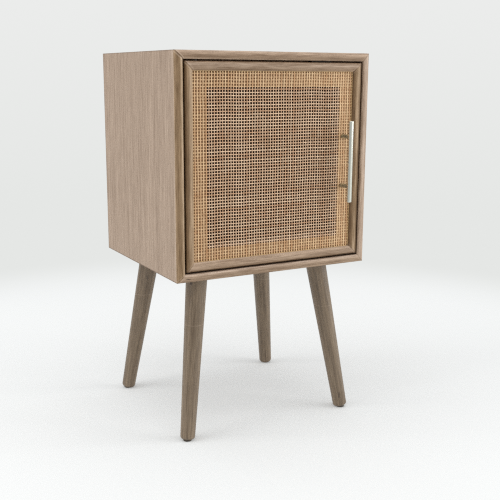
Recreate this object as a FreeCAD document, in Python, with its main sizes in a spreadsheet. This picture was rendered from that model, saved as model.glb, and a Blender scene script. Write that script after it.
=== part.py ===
import FreeCAD, Part
import Sketcher
import math
import os
import re

# A small storage side table: a mitred box on four splayed legs, with one inset door whose
# panel is woven cane held between a cushion moulding and a rear frame.
# Frame: X to the right seen from the front, Y to the back, Z up, origin on the floor under
# the middle of the whole table, handle included. Millimetres and degrees.

Vector = FreeCAD.Vector
Rotation = FreeCAD.Rotation
Placement = FreeCAD.Placement

SIZES = [
    ("carcass_width", 410, "box, outside"),
    ("carcass_height", 410, "box, outside"),
    ("carcass_depth", 362, "from the outer front edge of the lipping to the back edge"),
    ("leg_height", 317, "floor to the underside of the box"),
    ("panel_thickness", 15.5, "veneered boards"),
    ("lipping_behind", 3, "lipping behind the plane of its outer edge"),
    ("lipping_rise", 4, "crest of the lipping in front of that plane"),
    ("lipping_round", 4.5, "rounding at the inner edge of the lipping"),
    ("back_thickness", 5, "back panel"),
    ("back_ledge", 7.5, "width of the rebate that the back panel sits in"),
    ("back_fit", 0.5, "room round the back panel"),
    ("back_screw_margin", 60, "first back screw from the corner of the box"),
    ("door_gap", 2.8, "gap all round the door"),
    ("moulding_width", 16.2, "door moulding, seen from the front"),
    ("moulding_rise", 4, "crest of the moulding in front of the lipping's outer edge"),
    ("moulding_round", 3.5, "rounding at the outer edge of the moulding"),
    ("sight_edge", 0.8, "inner edge of the moulding, behind the lipping's outer edge"),
    ("cane_setback", 3.2, "face of the cane behind the lipping's outer edge"),
    ("cane_thickness", 1.4, "cane webbing"),
    ("cane_tuck", 10.2, "cane held under the moulding"),
    ("cane_fit", 0.3, "room at the edge of the cane"),
    ("frame_width", 45, "stiles and rails of the rear frame"),
    ("frame_thickness", 14, "stiles and rails of the rear frame"),
    ("net_count", 17, "gaps along each side of the open cane"),
    ("net_bar", 6, "cane left between two gaps"),
    ("dowel_diameter", 8, "dowels in the corners of the rear frame"),
    ("dowel_length", 36, "dowels in the corners of the rear frame"),
    ("dowel_first", 18, "first dowel of a corner from the edge of the door"),
    ("dowel_spacing", 18, "between the two dowels of a corner"),
    ("handle_spacing", 96, "between the handle's posts"),
    ("handle_length", 156, "handle bar"),
    ("handle_bar_diameter", 10, "handle bar"),
    ("handle_end_round", 1, "edge of the bar's ends"),
    ("handle_post_diameter", 8, "handle posts"),
    ("handle_post_length", 27, "face of the cane to the middle of the bar"),
    ("handle_inset", 36, "middle of the handle from the edge of the door"),
    ("handle_screw_diameter", 4, "screw through the stile into a post"),
    ("handle_screw_bite", 12, "screw inside a post"),
    ("handle_head_diameter", 8, "head of a handle screw"),
    ("handle_head_height", 2.4, "head of a handle screw"),
    ("pivot_inset", 24, "hinge axis from the edge of the door"),
    ("pivot_setback", 6, "hinge axis behind the front of the rear frame"),
    ("pivot_plate_length", 36, "pivot plates"),
    ("pivot_plate_width", 10, "pivot plates"),
    ("pivot_plate_thickness", 2.5, "pivot plates"),
    ("pivot_plate_corner", 3, "corners of the pivot plates"),
    ("pivot_screw_spacing", 24, "between the two screws of a pivot plate"),
    ("pin_diameter", 5, "hinge pins"),
    ("pin_reach", 9, "hinge pin inside the door"),
    ("pin_fit", 0.05, "running clearance of a pin, on the radius"),
    ("pin_end_room", 1, "room past the end of a pin"),
    ("washer_diameter", 11, "washers between door and box"),
    ("running_gap", 0.3, "air between faces that move past each other"),
    ("screw_diameter", 3, "wood screws"),
    ("screw_head", 6, "head of a wood screw"),
    ("screw_length", 12, "wood screws"),
    ("screw_fit", 0.1, "room round a screw, bolt or dowel, on the radius"),
    ("leg_inset_x", 71, "leg axis at the box, from the side of the box"),
    ("leg_inset_y", 66.5, "leg axis at the box, from the front and back of the box"),
    ("leg_tilt", 11, "leg axis from the vertical, degrees, towards the corner"),
    ("leg_top_diameter", 41.5, "leg at the box"),
    ("leg_foot_diameter", 28.2, "leg at the floor"),
    ("foot_round", 6, "edge of the foot"),
    ("glide_thickness", 2.4, "glide at its middle"),
    ("glide_diameter", 16, "glide"),
    ("plate_side", 62, "leg plates, square"),
    ("plate_thickness", 2.5, "leg plates"),
    ("plate_corner", 8, "corners of the leg plates"),
    ("plate_screw_spacing", 46, "between the screws of a leg plate"),
    ("boss_diameter", 12, "threaded boss of a leg plate"),
    ("boss_height", 9, "threaded boss of a leg plate"),
    ("boss_recess", 20, "recess for the boss in the bottom board, diameter"),
    ("boss_recess_depth", 12, "recess for the boss in the bottom board"),
    ("bolt_diameter", 8, "hanger bolt of a leg"),
    ("bolt_depth", 35, "hanger bolt inside the leg"),
    ("catch_length", 44, "magnetic catch"),
    ("catch_depth", 14, "magnetic catch"),
    ("catch_height", 14, "magnetic catch"),
    ("catch_body_length", 27, "magnetic catch between its flanges"),
    ("catch_flange", 3, "flanges of the magnetic catch"),
    ("catch_screw_spacing", 34, "between the screws of the catch"),
    ("catch_inset", 32, "middle of the catch from the latch stile"),
    ("magnet_length", 22, "magnet of the catch"),
    ("magnet_height", 8, "magnet of the catch"),
    ("magnet_depth", 9, "magnet of the catch"),
    ("strike_edge", 1, "strike plate from the edge of the door"),
    ("strike_length", 34, "strike plate on the door"),
    ("strike_height", 9, "strike plate on the door"),
    ("strike_thickness", 1.6, "strike plate on the door"),
    ("strike_screw_spacing", 24, "between the screws of the strike plate"),
]

# Lengths and places that follow from the sizes above.
DERIVED = {
    "handle_reach": "handle_post_length - cane_setback + handle_bar_diameter / 2",
    "front": "(handle_reach - carcass_depth) / 2",
    "back": "front + carcass_depth",
    "middle": "front + carcass_depth / 2",
    "board_front": "front + lipping_behind",
    "board_depth": "carcass_depth - lipping_behind",
    "box_top": "leg_height + carcass_height",
    "inner_bottom": "leg_height + panel_thickness",
    "inner_top": "box_top - panel_thickness",
    "inner_width": "carcass_width - 2 * panel_thickness",
    "inner_height": "carcass_height - 2 * panel_thickness",
    "door_width": "inner_width - 2 * door_gap",
    "door_height": "inner_height - 2 * door_gap",
    "door_bottom": "inner_bottom + door_gap",
    "door_top": "inner_top - door_gap",
    "door_left": "-door_width / 2",
    "door_right": "door_width / 2",
    "cane_front": "front + cane_setback",
    "cane_back": "cane_setback + cane_thickness",
    "cane_rebate": "moulding_width - cane_tuck",
    "frame_front": "front + cane_back",
    "frame_back": "frame_front + frame_thickness",
    "handle_x": "door_right - handle_inset",
    "handle_z": "(door_bottom + door_top) / 2",
    "bar_y": "cane_front - handle_post_length",
    "pivot_x": "door_left + pivot_inset",
    "pivot_y": "frame_front + pivot_setback",
    "leg_x": "carcass_width / 2 - leg_inset_x",
    "leg_y": "carcass_depth / 2 - leg_inset_y",
    "leg_lean": "sin(leg_tilt * 1 deg) / sqrt(2)",
    "leg_rise": "cos(leg_tilt * 1 deg)",
    "leg_slope": "tan(leg_tilt * 1 deg)",
    "foot_x": "leg_x + leg_height * leg_slope / sqrt(2)",
    "foot_y": "leg_y + leg_height * leg_slope / sqrt(2)",
    "axis_length": "leg_height / leg_rise",
    "screw_head_height": "(screw_head - screw_diameter) / 2",
    "catch_x": "door_right - frame_width - catch_inset",
    "strike_z": "door_top - strike_edge - strike_height / 2",
    "catch_front": "frame_back + strike_thickness + running_gap",
}

doc = FreeCAD.newDocument("storage_side_table")
sheet = doc.addObject("Spreadsheet::Sheet", "Sizes")
for row, (name, value, note) in enumerate(SIZES, start=1):
    sheet.set(f"A{row}", name)
    sheet.set(f"B{row}", str(value))
    sheet.set(f"C{row}", note)
    sheet.setAlias(f"B{row}", name)
doc.recompute()
CELLS = {name for name, _, _ in SIZES}
PIECES = []


def expand(text):
    """Write a formula in size names as a formula in the sheet's cells."""
    def cell(match):
        word = match.group(0)
        if word in DERIVED:
            return f"({expand(DERIVED[word])})"
        return f"Sizes.{word}" if word in CELLS else word
    return re.sub(r"[a-z_]+", cell, text)


def number(text):
    result = sheet.evalExpression(expand(text))
    return float(getattr(result, "Value", result))


def bind(obj, **formulas):
    for path, text in formulas.items():
        obj.setExpression(path, expand(text))
    return obj


def place(obj, x, y, z, rotation=Rotation()):
    obj.Placement = Placement(Vector(), rotation)
    for axis, text in zip("xyz", (x, y, z)):
        obj.setExpression(f"Placement.Base.{axis}", expand(text))
    return obj


def piece(obj, label):
    """Name a finished sub-part. The name is also its file's name."""
    obj.Label = label
    PIECES.append(obj)
    return obj


def new_body(label):
    return doc.addObject("PartDesign::Body", f"{label}_body")


def new_sketch(body, role, turn=Rotation()):
    sketch = body.newObject("Sketcher::SketchObject", f"{body.Name}_sketch")
    plane = next(item for item in body.Origin.OriginFeatures if item.Role == role)
    sketch.AttachmentSupport = [(plane, "")]
    sketch.MapMode = "FlatFace"
    sketch.AttachmentOffset = Placement(Vector(), turn)
    return sketch


def pin_point(sketch, edge, end, x, y):
    """Hold one end of an edge at a place given by two formulas."""
    for kind, text, axis in (("DistanceX", x, -2), ("DistanceY", y, -1)):
        if text == "0":
            sketch.addConstraint(Sketcher.Constraint("PointOnObject", edge, end, axis))
        else:
            index = sketch.addConstraint(Sketcher.Constraint(kind, -1, 1, edge, end, number(text)))
            sketch.setExpression(f"Constraints[{index}]", expand(text))


def outline(sketch, corners, arcs=None):
    """Closed outline through corners. arcs gives, for the side after a corner, centre and radius."""
    arcs = arcs or {}
    points = [Vector(number(x), number(y), 0) for x, y in corners]
    ends = []
    for index, start in enumerate(points):
        stop = points[(index + 1) % len(points)]
        if index in arcs:
            x, y, radius = arcs[index]
            centre = Vector(number(x), number(y), 0)
            outward = ((start - centre) + (stop - centre)).normalize()
            sketch.addGeometry(Part.Arc(start, centre + outward * number(radius), stop), False)
            forward = (sketch.Geometry[index].StartPoint - start).Length < 1e-6
            ends.append((1, 2) if forward else (2, 1))
            limit = sketch.addConstraint(Sketcher.Constraint("Radius", index, number(radius)))
            sketch.setExpression(f"Constraints[{limit}]", expand(radius))
        else:
            sketch.addGeometry(Part.LineSegment(start, stop), False)
            ends.append((1, 2))
    for index, (x, y) in enumerate(corners):
        after = (index + 1) % len(corners)
        join = Sketcher.Constraint("Coincident", index, ends[index][1], after, ends[after][0])
        sketch.addConstraint(join)
        pin_point(sketch, index, ends[index][0], x, y)
    return sketch


def rectangle(sketch, left, low, right, high):
    return outline(sketch, [(left, low), (right, low), (right, high), (left, high)])


def pad(body, sketch, length):
    feature = body.newObject("PartDesign::Pad", f"{body.Name}_pad")
    feature.Profile = sketch
    return bind(feature, Length=length)


def cut_through(body, sketch):
    """Cut the sketch right through the body, to both sides of its plane."""
    feature = body.newObject("PartDesign::Pocket", f"{body.Name}_cut")
    feature.Profile = sketch
    feature.Type = "ThroughAll"
    feature.SideType = "Symmetric"
    return feature


def revolve(body, sketch):
    feature = body.newObject("PartDesign::Revolution", f"{body.Name}_turned")
    feature.Profile = sketch
    feature.ReferenceAxis = (sketch, ["V_Axis"])
    return feature


def fillet(body, radius, wanted):
    """Round every edge of the body that the test picks out."""
    doc.recompute()
    last = body.Tip
    names = [f"Edge{n}" for n, edge in enumerate(last.Shape.Edges, start=1) if wanted(edge)]
    feature = body.newObject("PartDesign::Fillet", f"{body.Name}_fillet")
    feature.Base = (last, names)
    return bind(feature, Radius=radius)


def upright(edge):
    return edge.BoundBox.ZLength > 0.9 * edge.Length


def box(name, length, width, height, x, y, z):
    block = bind(doc.addObject("Part::Box", name), Length=length, Width=width, Height=height)
    return place(block, x, y, z)


def cylinder(name, radius, height, x, y, z, rotation=Rotation()):
    rod = bind(doc.addObject("Part::Cylinder", name), Radius=radius, Height=height)
    return place(rod, x, y, z, rotation)


def cut(name, base, *tools):
    for tool in tools:
        step = doc.addObject("Part::Cut", name)
        step.Base = base
        step.Tool = tool
        base = step
    return base


def fuse(name, base, tool):
    joined = doc.addObject("Part::Fuse", name)
    joined.Base = base
    joined.Tool = tool
    return joined


def group(name, members):
    bundle = doc.addObject("Part::Compound", name)
    bundle.Links = members
    return bundle


def facing(direction):
    return Rotation(Vector(0, 0, 1), Vector(*direction))


def wood_screw(name, spot, direction, fit="0"):
    """Countersunk screw. spot is the middle of the head's flat, direction points into the wood."""
    turn = facing(direction)
    shank = cylinder(f"{name}_shank", f"screw_diameter / 2 + {fit}", f"screw_length + {fit}", *spot, turn)
    head = doc.addObject("Part::Cone", f"{name}_head")
    bind(head, Radius1=f"screw_head / 2 + {fit}", Radius2=f"screw_diameter / 2 + {fit}",
         Height="screw_head_height")
    place(head, *spot, turn)
    return fuse(name, shank, head)


def wood_screws(label, spots):
    """A group of screws, and the group of holes that they sit in. spots: (place, direction)."""
    screws = []
    holes = []
    for index, (spot, direction) in enumerate(spots):
        screws.append(wood_screw(f"{label}_{index}", spot, direction))
        holes.append(wood_screw(f"{label}_hole_{index}", spot, direction, "screw_fit"))
    return group(label, screws), group(f"{label}_holes", holes)


# The four sides of a mitred frame: the way inwards, the corner where the side starts, and
# its outer length, for a frame as wide and high as given.
def mitred_sides(left, right, low, high, width, height):
    return {
        "top": ((0, 0, -1), left, high, width),
        "bottom": ((0, 0, 1), right, low, width),
        "left": ((1, 0, 0), left, low, height),
        "right": ((-1, 0, 0), right, high, height),
    }


def along_side(inward):
    """Local X runs along the side, Y inwards and Z to the back."""
    inwards = Vector(*inward)
    backwards = Vector(0, 1, 0)
    return Rotation(inwards.cross(backwards), inwards, backwards, "XYZ")


def mitred_board(name, side):
    """One board of the box, with a ledge at its back edge for the back panel."""
    inward, x, z, length = side
    body = new_body(name)
    section = new_sketch(body, "XY_Plane")
    outline(section, [("0", "0"), (length, "0"), (f"{length} - panel_thickness", "panel_thickness"),
                      ("panel_thickness", "panel_thickness")])
    pad(body, section, "board_depth")
    ledge = new_sketch(body, "YZ_Plane")
    rectangle(ledge, "panel_thickness - back_ledge", "board_depth - back_thickness",
              "panel_thickness", "board_depth")
    cut_through(body, ledge)
    return place(body, x, "board_front", z, along_side(inward))


def mitred_strip(name, side, width, draw_section):
    """A moulded strip with both ends cut at 45 degrees. Its section is drawn from the front plane."""
    inward, x, z, length = side
    body = new_body(name)
    section = new_sketch(body, "YZ_Plane")
    draw_section(section)
    pad(body, section, length)
    for corner, direction in (("0", "+"), (length, "-")):
        mitre = new_sketch(body, "XY_Plane")
        outline(mitre, [(corner, "0"), (f"{corner} {direction} {width}", width), (corner, width)])
        cut_through(body, mitre)
    return place(body, x, "front", z, along_side(inward))


def lipping_section(sketch):
    """Rises from the outer edge to a crest and rolls over into the inner edge."""
    crest = "panel_thickness - lipping_round"
    swell = f"(({crest}) ^ 2 + lipping_rise ^ 2) / (2 * lipping_rise)"
    outline(sketch, [
        ("0", "lipping_behind"),
        ("0", "0"),
        (crest, "-lipping_rise"),
        ("panel_thickness", "lipping_round - lipping_rise"),
        ("panel_thickness", "lipping_behind"),
    ], arcs={
        1: (crest, f"{swell} - lipping_rise", swell),
        2: (crest, "lipping_round - lipping_rise", "lipping_round"),
    })


def moulding_section(sketch):
    """Rolls over from the outer edge to a crest and falls to the cane, which it clamps."""
    fall = "sight_edge + moulding_rise"
    reach = "moulding_width - moulding_round"
    swell = f"(({reach}) ^ 2 + ({fall}) ^ 2) / (2 * ({fall}))"
    outline(sketch, [
        ("0", "cane_back"),
        ("0", "moulding_round - moulding_rise"),
        ("moulding_round", "-moulding_rise"),
        ("moulding_width", "sight_edge"),
        ("moulding_width", "cane_setback"),
        ("cane_rebate", "cane_setback"),
        ("cane_rebate", "cane_back"),
    ], arcs={
        1: ("moulding_round", "moulding_round - moulding_rise", "moulding_round"),
        2: ("moulding_round", f"{swell} - moulding_rise", swell),
    })


CORNERS = {
    "front_left": (-1, -1),
    "front_right": (1, -1),
    "back_left": (-1, 1),
    "back_right": (1, 1),
}


def on_leg_axis(corner, distance):
    """A point on a leg's axis, counted along the axis from the floor."""
    right, behind = CORNERS[corner]
    return (f"{right} * (foot_x - ({distance}) * leg_lean)",
            f"middle + {behind} * (foot_y - ({distance}) * leg_lean)",
            f"({distance}) * leg_rise")


def lean(obj, corner, distance):
    """Stand an object on a leg's axis, leaning with the leg towards the middle."""
    right, behind = CORNERS[corner]
    place(obj, *on_leg_axis(corner, distance), Rotation(Vector(behind, -right, 0), number("leg_tilt")))
    obj.setExpression("Placement.Rotation.Angle", expand("leg_tilt * 1 deg"))
    return obj


def level_cut(body, corner, height, away):
    """Cut a leaning body by the level plane at a height, and drop what lies on the away side."""
    right, behind = CORNERS[corner]
    outwards = Rotation(Vector(0, 1, 0), math.degrees(math.atan2(behind, right)))
    sketch = new_sketch(body, "XZ_Plane", outwards)
    reach = "leg_top_diameter"
    level = f"({height}) / leg_rise"
    outline(sketch, [
        (f"-{reach}", f"{level} + {reach} * leg_slope"),
        (reach, f"{level} - {reach} * leg_slope"),
        (reach, f"{level} + {away} * 2 * {reach}"),
        (f"-{reach}", f"{level} + {away} * 2 * {reach}"),
    ])
    return cut_through(body, sketch)


UP = (0, 0, 1)
DOWN = (0, 0, -1)
FORWARD = (0, -1, 0)
RIGHT = (1, 0, 0)

# Screws that hold the back panel in its rebate
back_x = ("-(carcass_width / 2 - back_screw_margin)", "0", "carcass_width / 2 - back_screw_margin")
back_z = ("leg_height + back_screw_margin", "(leg_height + box_top) / 2", "box_top - back_screw_margin")
level_rows = ("inner_top + back_ledge / 2", "inner_bottom - back_ledge / 2")
upright_rows = ("inner_width / 2 + back_ledge / 2", "-inner_width / 2 - back_ledge / 2")
back_spots = [((x, "back", z), FORWARD) for z in level_rows for x in back_x]
back_spots += [((x, "back", z), FORWARD) for x in upright_rows for z in back_z]
back_screws, back_holes = wood_screws("back_panel_screws", back_spots)

# Pivot hinges: a plate let into the box, a plate let into the end of the hinge stile, a pin
# fixed in the first and turning in the second, and a washer between them
HINGES = {
    "upper": {"box": "inner_top", "door": "door_top", "sign": "1"},
    "lower": {"box": "inner_bottom", "door": "door_bottom", "sign": "-1"},
}


def layer(start, sign, depth):
    """Low edge of a layer that grows from a level, upwards for sign 1 and downwards for -1."""
    return f"{start} + ({sign} - 1) / 2 * ({depth})"


def flip(sign):
    return "-1" if sign == "1" else "1"


def pivot_mortise(name, low):
    length = "pivot_plate_length + 2 * screw_fit"
    width = "pivot_plate_width + 2 * screw_fit"
    return box(name, length, width, "pivot_plate_thickness",
               f"pivot_x - ({length}) / 2", f"pivot_y - ({width}) / 2", low)


def pivot_plate(name, low, holes):
    body = new_body(name)
    section = new_sketch(body, "XY_Plane")
    rectangle(section, "-pivot_plate_length / 2", "-pivot_plate_width / 2",
              "pivot_plate_length / 2", "pivot_plate_width / 2")
    pad(body, section, "pivot_plate_thickness")
    fillet(body, "pivot_plate_corner", upright)
    place(body, "pivot_x", "pivot_y", low)
    bore = cylinder(f"{name}_bore", "pin_diameter / 2 + pin_fit", "pivot_plate_thickness",
                    "pivot_x", "pivot_y", low)
    return cut(name, body, bore, holes)


def pivot_spots(level, direction):
    return [((f"pivot_x {side} pivot_screw_spacing / 2", "pivot_y", level), direction) for side in "+-"]


box_spots = pivot_spots("inner_top", UP) + pivot_spots("inner_bottom", DOWN)
door_spots = pivot_spots("door_top", DOWN) + pivot_spots("door_bottom", UP)
hinge_box_screws, hinge_box_holes = wood_screws("hinge_box_screws", box_spots)
hinge_door_screws, hinge_door_holes = wood_screws("hinge_door_screws", door_spots)
box_mortises = {}
door_mortises = []
for level, hinge in HINGES.items():
    sign = hinge["sign"]
    box_low = layer(hinge["box"], sign, "pivot_plate_thickness")
    door_low = layer(hinge["door"], flip(sign), "pivot_plate_thickness")
    washer_low = layer(hinge["box"], flip(sign), "door_gap - running_gap")
    pin_length = "pivot_plate_thickness + door_gap + pin_reach"
    pin_low = layer(f"{hinge['box']} + {sign} * pivot_plate_thickness", flip(sign), pin_length)
    tail_depth = "pin_reach + pin_end_room"
    tail_low = layer(hinge["door"], flip(sign), tail_depth)
    piece(pivot_plate(f"{level}_pivot_box_plate", box_low, hinge_box_holes), f"{level}_hinge_box_plate")
    piece(pivot_plate(f"{level}_pivot_door_plate", door_low, hinge_door_holes), f"{level}_hinge_door_plate")
    pin = cylinder(f"{level}_pin", "pin_diameter / 2", pin_length, "pivot_x", "pivot_y", pin_low)
    piece(pin, f"{level}_hinge_pin")
    disc = cylinder(f"{level}_disc", "washer_diameter / 2", "door_gap - running_gap",
                    "pivot_x", "pivot_y", washer_low)
    eye = cylinder(f"{level}_eye", "pin_diameter / 2 + screw_fit", "door_gap",
                   "pivot_x", "pivot_y", washer_low)
    piece(cut(f"{level}_washer", disc, eye), f"{level}_hinge_washer")
    box_mortises[level] = pivot_mortise(f"{level}_box_mortise", box_low)
    door_mortises.append(pivot_mortise(f"{level}_door_mortise", door_low))
    door_mortises.append(cylinder(f"{level}_pin_hole", "pin_diameter / 2 + running_gap", tail_depth,
                                  "pivot_x", "pivot_y", tail_low))
piece(hinge_box_screws, "hinge_box_screws")
piece(hinge_door_screws, "hinge_door_screws")

# Magnetic catch under the top board, and the strike plate on the back of the door
catch_low = "inner_top - catch_flange"
catch_spots = [((f"catch_x {side} catch_screw_spacing / 2", "catch_front + catch_depth / 2", catch_low), UP)
               for side in "+-"]
catch_screws, catch_holes = wood_screws("catch_screws", catch_spots)
catch_body = new_body("catch")
catch_section = new_sketch(catch_body, "XZ_Plane")
half_body = "catch_body_length / 2"
half_catch = "catch_length / 2"
outline(catch_section, [
    (f"-{half_catch}", "0"), (f"-{half_catch}", "-catch_flange"), (f"-{half_body}", "-catch_flange"),
    (f"-{half_body}", "-catch_height"), (half_body, "-catch_height"), (half_body, "-catch_flange"),
    (half_catch, "-catch_flange"), (half_catch, "0"),
])
pad(catch_body, catch_section, "catch_depth").Reversed = True
place(catch_body, "catch_x", "catch_front", "inner_top")


def magnet_block(name, fit):
    length = f"magnet_length + 2 * {fit}"
    height = f"magnet_height + 2 * {fit}"
    return box(name, length, "magnet_depth", height,
               f"catch_x - ({length}) / 2", "catch_front", f"strike_z - ({height}) / 2")


magnet_seat = magnet_block("magnet_seat", "screw_fit")
piece(cut("catch_shell", catch_body, magnet_seat, catch_holes), "catch_housing")
piece(magnet_block("magnet_bar", "0"), "catch_magnet")
piece(catch_screws, "catch_screws")
strike_face = "frame_back + strike_thickness"
strike_spots = [((f"catch_x {side} strike_screw_spacing / 2", strike_face, "strike_z"), FORWARD)
                for side in "+-"]
strike_screws, strike_holes = wood_screws("strike_screws", strike_spots)
strike_blank = box("strike_blank", "strike_length", "strike_thickness", "strike_height",
                   "catch_x - strike_length / 2", "frame_back", "strike_z - strike_height / 2")
piece(cut("strike", strike_blank, strike_holes), "strike_plate")
piece(strike_screws, "strike_plate_screws")

# Legs, each with its glide, its plate under the box and its hanger bolt
leg_end = "axis_length + leg_top_diameter * leg_slope"
bolts = []
plate_spots = []
for corner in CORNERS:
    x, y, _ = on_leg_axis(corner, "axis_length")
    for dx in "+-":
        for dy in "+-":
            spot = (f"{x} {dx} plate_screw_spacing / 2", f"{y} {dy} plate_screw_spacing / 2",
                    "leg_height - plate_thickness")
            plate_spots.append((spot, UP))
plate_screws, plate_holes = wood_screws("leg_plate_screws", plate_spots)


def turned_leg(corner):
    """A straight taper turned on its own axis, bored for the bolt and cut level under its plate."""
    body = new_body(f"leg_{corner}")
    bore = "bolt_diameter / 2 + screw_fit"
    profile = new_sketch(body, "XZ_Plane")
    outline(profile, [
        ("0", "glide_thickness"), ("leg_foot_diameter / 2", "glide_thickness"),
        ("leg_top_diameter / 2", "axis_length"), ("leg_top_diameter / 2", leg_end),
        (bore, leg_end), (bore, "axis_length - bolt_depth"), ("0", "axis_length - bolt_depth"),
    ])
    revolve(body, profile)
    foot = number("glide_thickness")
    fillet(body, "foot_round", lambda edge: edge.BoundBox.ZMax < foot + 1e-3)
    level_cut(body, corner, "leg_height - plate_thickness", "1")
    return lean(body, corner, "0")


def sloped_glide(corner):
    """A disc square to the leg above and level on the floor below."""
    body = new_body(f"glide_{corner}")
    profile = new_sketch(body, "XZ_Plane")
    rectangle(profile, "0", "-glide_diameter / 2", "glide_diameter / 2", "glide_thickness")
    revolve(body, profile)
    level_cut(body, corner, "0", "-1")
    return lean(body, corner, "0")


def leg_plate(corner):
    """A square plate with a threaded boss that leans with the leg."""
    body = new_body(f"plate_{corner}")
    section = new_sketch(body, "XY_Plane")
    rectangle(section, "-plate_side / 2", "-plate_side / 2", "plate_side / 2", "plate_side / 2")
    pad(body, section, "plate_thickness")
    fillet(body, "plate_corner", upright)
    x, y, _ = on_leg_axis(corner, "axis_length")
    place(body, x, y, "leg_height - plate_thickness")
    boss = bind(doc.addObject("Part::Cylinder", f"boss_{corner}"),
                Radius="boss_diameter / 2", Height="boss_height + plate_thickness / 2")
    lean(boss, corner, "axis_length - plate_thickness / 2")
    thread = bind(doc.addObject("Part::Cylinder", f"thread_{corner}"),
                  Radius="bolt_diameter / 2 + screw_fit", Height="boss_height + 5 * plate_thickness")
    lean(thread, corner, "axis_length - 3 * plate_thickness")
    return cut(f"plate_{corner}", fuse(f"plate_blank_{corner}", body, boss), thread, plate_holes)


boss_recesses = []
for corner in CORNERS:
    piece(turned_leg(corner), f"leg_{corner}")
    piece(sloped_glide(corner), f"glide_{corner}")
    piece(leg_plate(corner), f"leg_plate_{corner}")
    bolt = bind(doc.addObject("Part::Cylinder", f"bolt_{corner}"),
                Radius="bolt_diameter / 2", Height="bolt_depth + boss_height")
    bolts.append(lean(bolt, corner, "axis_length - bolt_depth"))
    x, y, _ = on_leg_axis(corner, "axis_length")
    recess = cylinder(f"recess_{corner}", "boss_recess / 2", "boss_recess_depth", x, y, "leg_height")
    boss_recesses.append(recess)
piece(group("leg_bolts", bolts), "leg_hanger_bolts")
piece(plate_screws, "leg_plate_screws")

# The box: four mitred boards, their lippings and the back panel
box_sides = mitred_sides("-carcass_width / 2", "carcass_width / 2", "leg_height", "box_top",
                         "carcass_width", "carcass_height")
board_cuts = {
    "top": [box_mortises["upper"], hinge_box_holes, catch_holes],
    "bottom": [box_mortises["lower"], hinge_box_holes, plate_holes, group("boss_recesses", boss_recesses)],
    "left": [],
    "right": [],
}
board_names = {
    "top": "top_panel",
    "bottom": "bottom_panel",
    "left": "left_side_panel",
    "right": "right_side_panel",
}
for name, side in box_sides.items():
    board = mitred_board(f"{name}_board", side)
    piece(cut(f"{name}_panel_cut", board, back_holes, *board_cuts[name]), board_names[name])
    piece(mitred_strip(f"{name}_lip", side, "panel_thickness", lipping_section), f"{name}_lipping")
back_width = "inner_width + 2 * back_ledge - 2 * back_fit"
back_height = "inner_height + 2 * back_ledge - 2 * back_fit"
back_blank = box("back_blank", back_width, "back_thickness", back_height, f"-({back_width}) / 2",
                 "back - back_thickness", "inner_bottom - back_ledge + back_fit")
piece(cut("back", back_blank, back_holes), "back_panel")
piece(back_screws, "back_panel_screws")

# Rear frame of the door: stiles over the full height, rails between them, dowelled
dowels = []
dowel_holes = []
for x in ("door_left + frame_width", "door_right - frame_width"):
    for z, way in (("door_bottom", "+"), ("door_top", "-")):
        for step in ("dowel_first", "(dowel_first + dowel_spacing)"):
            spot = (f"{x} - dowel_length / 2", "frame_front + frame_thickness / 2", f"{z} {way} {step}")
            dowels.append(cylinder("dowel", "dowel_diameter / 2", "dowel_length", *spot, facing(RIGHT)))
            room = (f"{x} - dowel_length / 2 - screw_fit", spot[1], spot[2])
            dowel_holes.append(cylinder("dowel_hole", "dowel_diameter / 2 + screw_fit",
                                        "dowel_length + 2 * screw_fit", *room, facing(RIGHT)))
dowel_room = group("dowel_room", dowel_holes)


def handle_screw(name, z, fit):
    """Machine screw from the back of the stile into a post."""
    length = "frame_thickness + cane_thickness + handle_screw_bite"
    shank = cylinder(f"{name}_shank", f"handle_screw_diameter / 2 + {fit}", f"{length} + {fit}",
                     "handle_x", "frame_back", z, facing(FORWARD))
    head = cylinder(f"{name}_head", "handle_head_diameter / 2", "handle_head_height",
                    "handle_x", "frame_back + handle_head_height", z, facing(FORWARD))
    return fuse(name, shank, head)


post_levels = {"upper": "handle_z + handle_spacing / 2", "lower": "handle_z - handle_spacing / 2"}
screw_room = group("handle_screw_room",
                   [handle_screw(f"{level}_room", z, "screw_fit") for level, z in post_levels.items()])
stile_height = "door_height"
rail_length = "door_width - 2 * frame_width"
hinge_stile = box("hinge_stile", "frame_width", "frame_thickness", stile_height,
                  "door_left", "frame_front", "door_bottom")
latch_stile = box("latch_stile", "frame_width", "frame_thickness", stile_height,
                  "door_right - frame_width", "frame_front", "door_bottom")
top_rail = box("top_rail", rail_length, "frame_thickness", "frame_width",
               "door_left + frame_width", "frame_front", "door_top - frame_width")
bottom_rail = box("bottom_rail", rail_length, "frame_thickness", "frame_width",
                  "door_left + frame_width", "frame_front", "door_bottom")
piece(cut("hinge_stile_cut", hinge_stile, dowel_room, *door_mortises, hinge_door_holes), "door_hinge_stile")
piece(cut("latch_stile_cut", latch_stile, dowel_room, screw_room), "door_latch_stile")
piece(cut("top_rail_cut", top_rail, dowel_room, strike_holes), "door_top_rail")
piece(cut("bottom_rail_cut", bottom_rail, dowel_room), "door_bottom_rail")
piece(group("frame_dowels", dowels), "door_frame_dowels")

# Cushion moulding round the cane
door_sides = mitred_sides("door_left", "door_right", "door_bottom", "door_top", "door_width", "door_height")
for name, side in door_sides.items():
    strip = mitred_strip(f"door_{name}_strip", side, "moulding_width", moulding_section)
    piece(strip, f"door_{name}_moulding")


def rectangle_wire(left, low, right, high):
    corners = [(left, low), (right, low), (right, high), (left, high), (left, low)]
    return Part.makePolygon([Vector(x, 0, z) for x, z in corners])


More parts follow.
